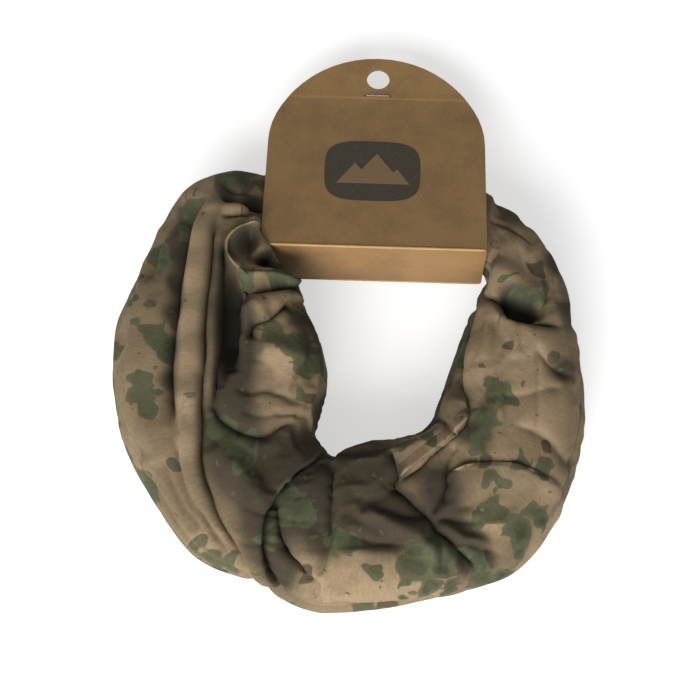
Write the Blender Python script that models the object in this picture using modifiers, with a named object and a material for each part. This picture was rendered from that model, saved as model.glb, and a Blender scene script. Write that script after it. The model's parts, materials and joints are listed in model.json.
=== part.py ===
"""Neck gaiter gathered into a ring and held by a folded, stapled hang card.

The gaiter is a seamless knit tube, 500 mm long and 245 mm wide when laid flat.
It is gathered along its length into a soft ring that lies on a table.  A card
with two creases wraps the ring at one place, and a staple joins its panels.

Frame: metres, +Z up, origin at the middle of the whole outline on the resting
plane, +Y towards the card's hang hole, +X to the right.
"""

import math

import bmesh
import bpy
from mathutils import Matrix, Vector

MM = 0.001

# The ring's middle, from the origin in the middle of the ring and its card.
RING_MIDDLE_X = -0.68 * MM
RING_MIDDLE_Y = -22.85 * MM

# The ring of gathered fabric, measured from its middle.
GRIP_RADIUS = 10.0 * MM
TABLE_CUT_DEPTH = 1.5 * MM
SMOOTHING_LEVELS = 2
POINTS_ROUND_SECTION = 10
FULLNESS = 0.72

# The folded card, placed from the ring's middle.
CARD_WIDTH = 80.0 * MM
CARD_CENTRE_X = 8.5 * MM
CARD_THICKNESS = 0.4 * MM
BASE_WIDTH = 28.0 * MM
PANEL_LENGTH = 87.0 * MM
PANEL_ARCH_HEIGHT = 39.0 * MM
BEND_AT = 69.0 * MM
CREASE_SETBACK = 0.55 * MM
HANG_HOLE_RADIUS = 4.3 * MM
HANG_HOLE_AT = 78.0 * MM

# The line through the middle of the card's loop, round which the card swings.
LOOP_AXIS_Y = 56.0 * MM
LOOP_AXIS_Z = 23.5 * MM
CARD_TILT = math.radians(7.0)

# The staple.
WIRE_RADIUS = 0.25 * MM
STAPLE_CROWN = 9.0 * MM
STAPLE_AT = 70.6 * MM
STAPLE_HOLE_RADIUS = 0.55 * MM
STAPLE_LIFT = 0.3 * MM
STAPLE_POKE = 0.3 * MM

# Half the angle between the two panels, which meet a sheet's gap apart.
SHEET_GAP = 0.3 * MM
HEADER_OFFSET = (CARD_THICKNESS + SHEET_GAP) / 2
HALF_WEDGE = math.asin((BASE_WIDTH / 2 - HEADER_OFFSET) / BEND_AT)

# Distance from the card's loop axis back to the strip between the creases.
LOOP_INRADIUS = BASE_WIDTH / 2 * math.tan((math.pi / 2 - HALF_WEDGE) / 2)

CUT_MARGIN = 5.0 * MM
SECTION_GAP = 1.8 * MM


def clear_scene():
    """Remove every object, so that only the gaiter is left."""
    for leftover in list(bpy.data.objects):
        bpy.data.objects.remove(leftover, do_unlink=True)


def new_collection(name):
    """Make a collection and link it to the scene."""
    collection = bpy.data.collections.new(name)
    bpy.context.scene.collection.children.link(collection)
    return collection


def new_object(name, data, collection):
    """Make an object from mesh or curve data and put it in a collection."""
    made = bpy.data.objects.new(name, data)
    collection.objects.link(made)
    return made


def plain_material(name, colour, roughness, metallic=0.0):
    """Make a Principled material of one colour."""
    material = bpy.data.materials.new(name)
    material.use_nodes = True
    shader = material.node_tree.nodes["Principled BSDF"]
    shader.inputs["Base Color"].default_value = (*colour, 1.0)
    shader.inputs["Roughness"].default_value = roughness
    shader.inputs["Metallic"].default_value = metallic
    return material


def knit_material():
    """Khaki printed knit."""
    return plain_material("printed_knit", (0.19, 0.15, 0.10), 0.9)


def kraft_material():
    """Brown kraft board."""
    return plain_material("kraft_board", (0.20, 0.13, 0.07), 0.8)


def wire_material():
    """Galvanised staple wire."""
    return plain_material("staple_wire", (0.60, 0.59, 0.56), 0.35, 1.0)


def ring_sections():
    """Sections of the ring: inner point, outer point and height, in mm.

    They run from the card's left side, round the ring, to its right side.
    The first and last two are the slim grip that the card holds.
    """
    grip_inner = (LOOP_AXIS_Y - GRIP_RADIUS) / MM
    grip_outer = (LOOP_AXIS_Y + GRIP_RADIUS) / MM
    card_left = (CARD_CENTRE_X - CARD_WIDTH / 2 - SECTION_GAP) / MM
    card_right = (CARD_CENTRE_X + CARD_WIDTH / 2 + SECTION_GAP) / MM
    step = SECTION_GAP / MM
    return [
        ((card_left + step, grip_inner), (card_left + step, grip_outer), None),
        ((card_left - step, grip_inner), (card_left - step, grip_outer), None),
        ((-38, 35), (-50, 88), 44),
        ((-17, 27), (-78, 66), 46),
        ((-6, 9), (-91, 20), 46),
        ((-7, -11), (-84, -29), 46),
        ((-4, -20), (-58, -73), 46),
        ((9, -18), (-6, -88), 46),
        ((20, -16), (43, -84), 46),
        ((30, -9), (78, -58), 46),
        ((36, 8), (91, -6), 46),
        ((43, 25), (86, 41), 46),
        ((55, 37), (63, 78), 44),
        ((card_right + step, grip_inner), (card_right + step, grip_outer), None),
        ((card_right - step, grip_inner), (card_right - step, grip_outer), None),
    ]


def section_points(inner, outer, height):
    """Points round one section of the ring, a full oval or the round grip."""
    inner = Vector((*inner, 0.0)) * MM
    outer = Vector((*outer, 0.0)) * MM
    middle = (inner + outer) / 2
    reach = (outer - inner) / 2
    if height is None:
        half_height = GRIP_RADIUS
        centre_z = LOOP_AXIS_Z
        power = 1.0
    else:
        half_height = (height * MM + TABLE_CUT_DEPTH) / 2
        centre_z = half_height - TABLE_CUT_DEPTH
        power = FULLNESS
    points = []
    for index in range(POINTS_ROUND_SECTION):
        angle = math.tau * index / POINTS_ROUND_SECTION
        across = math.copysign(abs(math.cos(angle)) ** power, math.cos(angle))
        upward = math.copysign(abs(math.sin(angle)) ** power, math.sin(angle))
        points.append(middle + reach * across + Vector((0, 0, centre_z + half_height * upward)))
    return points


def ring_cage():
    """A closed loft through the ring's sections."""
    mesh = bpy.data.meshes.new("gaiter")
    cage = bmesh.new()
    loops = []
    for inner, outer, height in ring_sections():
        loops.append([cage.verts.new(point) for point in section_points(inner, outer, height)])
    for index, loop in enumerate(loops):
        following = loops[(index + 1) % len(loops)]
        for corner in range(POINTS_ROUND_SECTION):
            after = (corner + 1) % POINTS_ROUND_SECTION
            cage.faces.new((loop[corner], loop[after], following[after], following[corner]))
    bmesh.ops.recalc_face_normals(cage, faces=cage.faces)
    cage.to_mesh(mesh)
    cage.free()
    mesh.shade_smooth()
    return mesh


def add_cutter(name, size, location, collection):
    """A box that cuts another piece and isn't part of the object."""
    mesh = bpy.data.meshes.new(name)
    box = bmesh.new()
    bmesh.ops.create_cube(box, size=1.0)
    bmesh.ops.scale(box, vec=size, verts=box.verts)
    box.to_mesh(mesh)
    box.free()
    cutter = new_object(name, mesh, collection)
    cutter.location = location
    cutter.hide_render = True
    cutter.display_type = "WIRE"
    return cutter


def add_drill(name, radius, location, rotation, collection):
    """A round cutter whose axis is its own Z."""
    mesh = bpy.data.meshes.new(name)
    drill = bmesh.new()
    depth = 2 * CUT_MARGIN
    bmesh.ops.create_cone(drill, cap_ends=True, segments=32, radius1=radius, radius2=radius, depth=depth)
    drill.to_mesh(mesh)
    drill.free()
    cutter = new_object(name, mesh, collection)
    cutter.location = location
    cutter.rotation_euler = rotation
    cutter.hide_render = True
    cutter.display_type = "WIRE"
    return cutter


def cut(target, cutter):
    """Take the cutter's volume out of the target."""
    modifier = target.modifiers.new(cutter.name, "BOOLEAN")
    modifier.operation = "DIFFERENCE"
    modifier.solver = "EXACT"
    modifier.object = cutter


def build_gaiter(ring_middle, parts, cutters):
    """The gathered ring of fabric, cut flat where it rests on the table."""
    gaiter = new_object("gaiter", ring_cage(), parts)
    gaiter.parent = ring_middle
    gaiter.data.materials.append(knit_material())
    smoothing = gaiter.modifiers.new("smoothing", "SUBSURF")
    smoothing.levels = SMOOTHING_LEVELS
    smoothing.render_levels = SMOOTHING_LEVELS
    size = (300 * MM, 300 * MM, 2 * CUT_MARGIN)
    table = add_cutter("table_cutter", size, (0, 0, -CUT_MARGIN), cutters)
    table.parent = ring_middle
    cut(gaiter, table)
    return gaiter


def panel_outline():
    """Outline of a panel: straight sides from the crease and an arched top."""
    half_width = CARD_WIDTH / 2
    shoulder = PANEL_LENGTH - PANEL_ARCH_HEIGHT
    points = [(-half_width, CREASE_SETBACK), (half_width, CREASE_SETBACK)]
    arch_steps = 28
    for step in range(arch_steps + 1):
        angle = math.pi * step / arch_steps
        points.append((half_width * math.cos(angle), shoulder + PANEL_ARCH_HEIGHT * math.sin(angle)))
    return points


def strip_outline():
    """Outline of the strip between the creases, drawn down from the front crease."""
    half_width = CARD_WIDTH / 2
    top = -CREASE_SETBACK
    bottom = CREASE_SETBACK - BASE_WIDTH
    return [(-half_width, bottom), (half_width, bottom), (half_width, top), (-half_width, top)]


def sheet_mesh(name, outline, collection):
    """A flat sheet of card from its outline, as a mesh."""
    curve = bpy.data.curves.new(name, "CURVE")
    curve.dimensions = "2D"
    curve.fill_mode = "BOTH"
    curve.extrude = CARD_THICKNESS / 2
    spline = curve.splines.new("POLY")
    spline.points.add(len(outline) - 1)
    for point, (x, y) in zip(spline.points, outline):
        point.co = (x, y, 0.0, 1.0)
    spline.use_cyclic_u = True
    drawn = new_object(name + "_outline", curve, collection)
    bpy.context.view_layer.update()
    evaluated = drawn.evaluated_get(bpy.context.evaluated_depsgraph_get())
    mesh = bpy.data.meshes.new_from_object(evaluated)
    bpy.data.objects.remove(drawn, do_unlink=True)
    sheet = bmesh.new()
    sheet.from_mesh(mesh)
    bmesh.ops.remove_doubles(sheet, verts=sheet.verts, dist=CARD_THICKNESS / 100)
    sheet.to_mesh(mesh)
    sheet.free()
    mesh.name = name
    return mesh


def bend_header(mesh, angle):
    """Bend the sheet beyond the staple line, about a line along X."""
    sheet = bmesh.new()
    sheet.from_mesh(mesh)
    everything = sheet.verts[:] + sheet.edges[:] + sheet.faces[:]
    bmesh.ops.bisect_plane(sheet, geom=everything, plane_co=(0, BEND_AT, 0), plane_no=(0, 1, 0))
    header = [vert for vert in sheet.verts if vert.co.y > BEND_AT + CARD_THICKNESS / 10]
    turn = Matrix.Rotation(angle, 3, "X")
    bmesh.ops.rotate(sheet, cent=(0, BEND_AT, 0), matrix=turn, verts=header)
    bmesh.ops.recalc_face_normals(sheet, faces=sheet.faces)
    sheet.to_mesh(mesh)
    sheet.free()


def add_frame_empties(ring_middle, parts):
    """Empties for the card: its loop axis, and one on each crease."""
    loop = new_object("card_loop_axis", None, parts)
    loop.parent = ring_middle
    loop.location = (CARD_CENTRE_X, LOOP_AXIS_Y, LOOP_AXIS_Z)
    loop.rotation_euler = (-CARD_TILT, 0, 0)
    creases = {}
    for name, side in (("front_crease", 1), ("back_crease", -1)):
        crease = new_object(name, None, parts)
        crease.parent = loop
        crease.location = (0, -LOOP_INRADIUS, side * BASE_WIDTH / 2)
        crease.rotation_euler = (-side * HALF_WEDGE, 0, 0)
        creases[name] = crease
    return loop, creases


def build_base(loop, material, parts):
    """The narrow strip of card between the two creases."""
    base = new_object("card_base", sheet_mesh("card_base", strip_outline(), parts), parts)
    base.data.materials.append(material)
    base.parent = loop
    base.location = (0, -LOOP_INRADIUS, BASE_WIDTH / 2)
    base.rotation_euler = (math.pi / 2, 0, 0)
    return base


def build_panel(name, crease, side, material, parts, cutters):
    """A panel of the card from its crease, bent at the staple line."""
    mesh = sheet_mesh(name, panel_outline(), parts)
    bend_header(mesh, side * HALF_WEDGE)
    panel = new_object(name, mesh, parts)
    panel.data.materials.append(material)
    panel.parent = crease
    header_turn = (side * HALF_WEDGE, 0, 0)
    drills = [("hang_hole", HANG_HOLE_RADIUS, 0.0, HANG_HOLE_AT)]
    for label, sign in (("left_leg", -1), ("right_leg", 1)):
        drills.append((label, STAPLE_HOLE_RADIUS, sign * STAPLE_CROWN / 2, STAPLE_AT))
    for label, radius, x, along in drills:
        y, z = header_point(along, side)
        drill = add_drill(f"{name}_{label}", radius, (x, y, z), header_turn, cutters)
        drill.parent = crease
        cut(panel, drill)
    return panel


def header_point(along, side):
    """A point of the bent header, in the panel's own frame."""
    beyond = along - BEND_AT
    turn = side * HALF_WEDGE
    return BEND_AT + beyond * math.cos(turn), beyond * math.sin(turn)


def build_staple(crease, parts):
    """The staple: a crown across the header and two legs through both panels."""
    curve = bpy.data.curves.new("staple", "CURVE")
    curve.dimensions = "3D"
    curve.bevel_depth = WIRE_RADIUS
    curve.bevel_resolution = 2
    curve.use_fill_caps = True
    crown_z = CARD_THICKNESS / 2 + STAPLE_LIFT + WIRE_RADIUS
    foot_z = -(CARD_THICKNESS * 1.5 + SHEET_GAP + STAPLE_POKE)
    half = STAPLE_CROWN / 2
    corner = 2 * WIRE_RADIUS
    path = [
        (-half, foot_z),
        (-half, crown_z - corner),
        (-half + corner * 0.3, crown_z - corner * 0.3),
        (-half + corner, crown_z),
        (half - corner, crown_z),
        (half - corner * 0.3, crown_z - corner * 0.3),
        (half, crown_z - corner),
        (half, foot_z),
    ]
    spline = curve.splines.new("POLY")
    spline.points.add(len(path) - 1)
    for point, (x, z) in zip(spline.points, path):
        point.co = (x, 0.0, z, 1.0)
    staple = new_object("staple", curve, parts)
    staple.data.materials.append(wire_material())
    staple.parent = crease
    y, z = header_point(STAPLE_AT, 1)
    staple.location = (0, y, z)
    staple.rotation_euler = (HALF_WEDGE, 0, 0)
    return staple


def build():
    """Build the whole object."""
    clear_scene()
    parts = new_collection("neck_gaiter")
    cutters = new_collection("cutters")
    ring_middle = new_object("ring_middle", None, parts)
    ring_middle.location = (RING_MIDDLE_X, RING_MIDDLE_Y, 0)
    build_gaiter(ring_middle, parts, cutters)
    loop, creases = add_frame_empties(ring_middle, parts)
    kraft = kraft_material()
    build_base(loop, kraft, parts)
    build_panel("card_front", creases["front_crease"], 1, kraft, parts, cutters)
    build_panel("card_back", creases["back_crease"], -1, kraft, parts, cutters)
    build_staple(creases["front_crease"], parts)


build()
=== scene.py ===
"""Looks for the gathered neck gaiter and its folded hang card.

Metres, +Z up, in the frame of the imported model.  The gaiter is one soft ring
of knit whose folds are laid in by strokes in plan, and the card, its creases,
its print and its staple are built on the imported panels.
"""

import json
import math

import bmesh
import bpy
import numpy as np
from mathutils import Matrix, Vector
from mathutils.bvhtree import BVHTree


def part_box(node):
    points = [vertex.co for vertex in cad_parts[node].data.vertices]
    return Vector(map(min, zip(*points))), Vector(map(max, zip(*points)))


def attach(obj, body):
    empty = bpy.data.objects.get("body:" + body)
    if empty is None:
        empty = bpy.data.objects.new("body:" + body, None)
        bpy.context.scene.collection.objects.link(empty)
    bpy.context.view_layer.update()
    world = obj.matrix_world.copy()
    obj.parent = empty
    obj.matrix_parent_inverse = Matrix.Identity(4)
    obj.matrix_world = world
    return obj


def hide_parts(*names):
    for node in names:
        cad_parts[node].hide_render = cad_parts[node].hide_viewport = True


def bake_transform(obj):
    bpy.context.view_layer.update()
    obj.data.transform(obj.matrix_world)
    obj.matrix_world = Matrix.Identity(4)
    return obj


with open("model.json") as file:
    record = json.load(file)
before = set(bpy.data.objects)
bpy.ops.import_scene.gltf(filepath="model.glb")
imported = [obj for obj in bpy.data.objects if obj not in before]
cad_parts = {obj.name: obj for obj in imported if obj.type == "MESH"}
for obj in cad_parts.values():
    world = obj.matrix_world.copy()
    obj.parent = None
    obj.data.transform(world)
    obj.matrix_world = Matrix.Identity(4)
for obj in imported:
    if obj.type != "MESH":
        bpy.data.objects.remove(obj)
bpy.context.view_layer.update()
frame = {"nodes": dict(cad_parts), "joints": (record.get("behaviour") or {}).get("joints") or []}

MM = 0.001


# ---------------------------------------------------------------- the frame

def joint_named(name):
    """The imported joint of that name."""
    return next(joint for joint in frame["joints"] if joint["name"] == name)


LOOP_AXIS = Vector(joint_named("card_swing")["pos_m"])
FRONT_CREASE = Vector(joint_named("front_crease")["pos_m"])
BACK_CREASE = Vector(joint_named("back_crease")["pos_m"])
HEADER_NORMAL = Vector(joint_named("staple_pull")["axis"])
CARD_LOW, CARD_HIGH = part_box("card_front")
CARD_HALF_WIDTH = (CARD_HIGH.x - CARD_LOW.x) / 2
CARD_MIDDLE_X = (CARD_HIGH.x + CARD_LOW.x) / 2

# Every distance in plan below is measured in mm from the ring's middle, which
# lies this far from the axis of the card's loop.
LOOP_IN_PLAN = (8.5, 56.0)
RING_MIDDLE = Vector((LOOP_AXIS.x - LOOP_IN_PLAN[0] * MM, LOOP_AXIS.y - LOOP_IN_PLAN[1] * MM, 0))
X_AXIS = Vector((1, 0, 0))
Y_AXIS = Vector((0, 1, 0))


def new_object(name, data):
    """An object of some data, linked to the scene."""
    made = bpy.data.objects.new(name, data)
    bpy.context.scene.collection.objects.link(made)
    return made


def finish_mesh(name, mesh, smooth=True):
    """Turn a bmesh into a linked object."""
    data = bpy.data.meshes.new(name)
    mesh.to_mesh(data)
    mesh.free()
    if smooth:
        data.shade_smooth()
    return new_object(name, data)


def tube_mesh(rings):
    """A closed bmesh through rings of points, with a face across its first and last ring."""
    mesh = bmesh.new()
    rings = [[mesh.verts.new(point) for point in ring] for ring in rings]
    for first, second in zip(rings, rings[1:]):
        for side in range(len(first)):
            after = (side + 1) % len(first)
            mesh.faces.new((first[side], first[after], second[after], second[side]))
    mesh.faces.new(rings[0][::-1])
    mesh.faces.new(rings[-1])
    bmesh.ops.recalc_face_normals(mesh, faces=mesh.faces)
    return mesh


# ------------------------------------------------------- the gathered ring

# Sections of the ring in mm: inner edge, outer edge, height and how much the
# section thins towards its outer edge.  They run from the card's left side
# round the ring to its right side, and then back through the card's loop.
SECTIONS = [
    ((-33, 43.5), (-34, 80), 36, 0.45),
    ((-24, 37), (-45, 78.5), 40, 0.25),
    ((-15.6, 32), (-58, 72), 42, 0.15),
    ((-14, 25), (-69, 55), 43, 0.1),
    ((-9.5, 15), (-78, 32), 44, 0.1),
    ((-6.5, 1), (-83, 8), 44, 0.1),
    ((-8.5, -11), (-78, -20), 44, 0.1),
    ((-9, -21), (-66, -43), 43, 0.1),
    ((-4, -26), (-51, -62), 42, 0.1),
    ((2, -23), (-29, -72), 42, 0.1),
    ((9, -20), (-8, -79.5), 42, 0.1),
    ((17, -19), (18, -77.5), 42, 0.1),
    ((25, -17), (42, -72), 42, 0.1),
    ((31, -13), (62, -62), 42, 0.1),
    ((34.5, -4), (76, -42), 42, 0.1),
    ((37, 7), (84, -14), 41, 0.1),
    ((41, 20), (84, 14), 41, 0.1),
    ((45, 31), (78, 40), 40, 0.15),
    ((48.5, 39), (67, 60), 38, 0.25),
    ((50, 44), (53, 73), 35, 0.45),
    ((40, 48.4), (40, 80), 25.5, 0.72),
    ((20, 48.4), (20, 80), 25.5, 0.72),
    ((-2, 48.4), (-2, 80), 25.5, 0.72),
    ((-23, 48.4), (-23, 80), 25.5, 0.72),
]
AROUND = 558
ACROSS = 178
FINE_ANGLES = 720
TOP_DENSITY = 2.0
SQUARENESS = 0.78
TABLE_GAP = 0.4
# The ring settles on the table: its lowest folds sink this far and are pressed flat.
SETTLE_DEPTH = 2.8
SETTLE_REACH = 11.0
# Inside the card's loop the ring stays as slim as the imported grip: half the
# loop's width, where the loop starts, and how far the folds take to come in.
LOOP_HALF_WIDTH, LOOP_SIDE_FADE = 38.5, 5.0
LOOP_FRONT, LOOP_FRONT_FADE = 45.0, 6.0
# Pleats on the walls and the underside: how many, where they start and how far
# they spread (half turns), and their widths on either side (radians).
PLEATS = 15
PLEATS_FROM, PLEATS_SPREAD = 0.84, 1.32
PLEAT_WIDTHS = (0.05, 0.14)


def catmull_rom(before, here, after, beyond, t):
    """A smooth curve through four values, at a share t of the way between the middle two."""
    return 0.5 * (
        2 * here
        + (after - before) * t
        + (2 * before - 5 * here + 4 * after - beyond) * t ** 2
        + (3 * here - before - 3 * after + beyond) * t ** 3
    )


def closed_spline(values, places):
    """A smooth curve through closed rows of values, at places counted in rows."""
    values = np.asarray(values, float)
    base = np.floor(places).astype(int)
    four = [values[(base + step) % len(values)] for step in (-1, 0, 1, 2)]
    return catmull_rom(*four, (places - base)[:, None])


def walk(line, weight=1.0):
    """The lengths of a line's steps, and the way walked at each of its points."""
    steps = np.linalg.norm(np.diff(line, axis=0), axis=1) * weight
    return steps, np.concatenate([[0], np.cumsum(steps)])


def section_rows():
    """Each section as a row: inner x, y, outer x, y, height, thinning, middle level, in the loop."""
    rows = []
    for inner, outer, height, thinning in SECTIONS:
        in_loop = thinning > 0.6
        middle = LOOP_AXIS.z / MM + 1.0 if in_loop else height / 2 + TABLE_GAP
        rows.append((*inner, *outer, height, thinning, middle, float(in_loop)))
    return rows


def even_places(rows, count):
    """Places along the ring, evenly spaced by the length of its middle line, and that length."""
    fine = np.linspace(0, len(rows), 2001)
    values = closed_spline(rows, fine % len(rows))
    middle = (values[:, 0:2] + values[:, 2:4]) / 2
    _, walked = walk(middle)
    wanted = np.linspace(0, walked[-1], count, endpoint=False)
    return np.interp(wanted, walked, fine), walked[-1]


def smooth_ramp(value):
    """0 to 1 with flat ends."""
    value = np.clip(value, 0, 1)
    return value * value * (3 - 2 * value)


def section_points(row, angle):
    """Points of one section of the ring at some angles, in mm."""
    inner, outer = row[0:2], row[2:4]
    height, thinning, middle, in_loop = row[4:8]
    across = np.sign(np.cos(angle)) * np.abs(np.cos(angle)) ** SQUARENESS
    upward = np.sign(np.sin(angle)) * np.abs(np.sin(angle)) ** SQUARENESS
    share = (1 - across) / 2
    plan = inner + (outer - inner) * share[:, None]
    lean = in_loop * (-HEADER_NORMAL.y / HEADER_NORMAL.z) * (plan[:, 1] - LOOP_IN_PLAN[1])
    level = middle + lean + height / 2 * (1 - thinning * share) * upward
    return np.column_stack([plan, level])


def ring_grid():
    """The smooth ring as a closed grid in mm, its angles and its length.

    The upper side, which shows, gets more of the points than the underside.
    """
    rows = section_rows()
    places, length = even_places(rows, AROUND)
    values = closed_spline(rows, places % len(rows))
    fine = np.linspace(0, 2 * math.pi, FINE_ANGLES + 1)
    weight = 1 + (TOP_DENSITY - 1) * smooth_ramp((np.sin(fine[:-1]) + 0.3) / 0.6)
    grid = np.zeros((AROUND, ACROSS, 3))
    angles = np.zeros((AROUND, ACROSS))
    for index, row in enumerate(values):
        _, walked = walk(section_points(row, fine), weight)
        wanted = np.linspace(0, walked[-1], ACROSS, endpoint=False)
        angles[index] = np.interp(wanted, walked, fine)
        grid[index] = section_points(row, angles[index])
    return grid, angles, length


def grid_normals(grid):
    """Outward normals of a closed grid."""
    along = np.roll(grid, -1, 0) - np.roll(grid, 1, 0)
    over = np.roll(grid, -1, 1) - np.roll(grid, 1, 1)
    normal = np.cross(over, along)
    normal /= np.maximum(np.linalg.norm(normal, axis=2, keepdims=True), 1e-9)
    centre = grid.mean(axis=1, keepdims=True)
    outward = np.sign(((grid - centre) * normal).sum(axis=2).mean())
    return normal * outward


def seeded_waves(points, wavelength, seed, count=24):
    """Smooth seeded noise from a sum of plane waves, about -1 to 1."""
    chance = np.random.default_rng(seed)
    total = np.zeros(points.shape[:-1])
    for _ in range(count):
        direction = chance.normal(size=points.shape[-1])
        direction /= np.linalg.norm(direction)
        stretch = chance.uniform(0.6, 1.6)
        phase = chance.uniform(0, 2 * math.pi)
        total += np.sin(points @ direction * (2 * math.pi / (wavelength * stretch)) + phase)
    return total / math.sqrt(count / 2) / 1.5


def seeded_warp(points, *waves):
    """One seeded noise for each direction: its wavelength, seed and perhaps count."""
    return np.stack([seeded_waves(points, *wave) for wave in waves], axis=-1)


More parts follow.
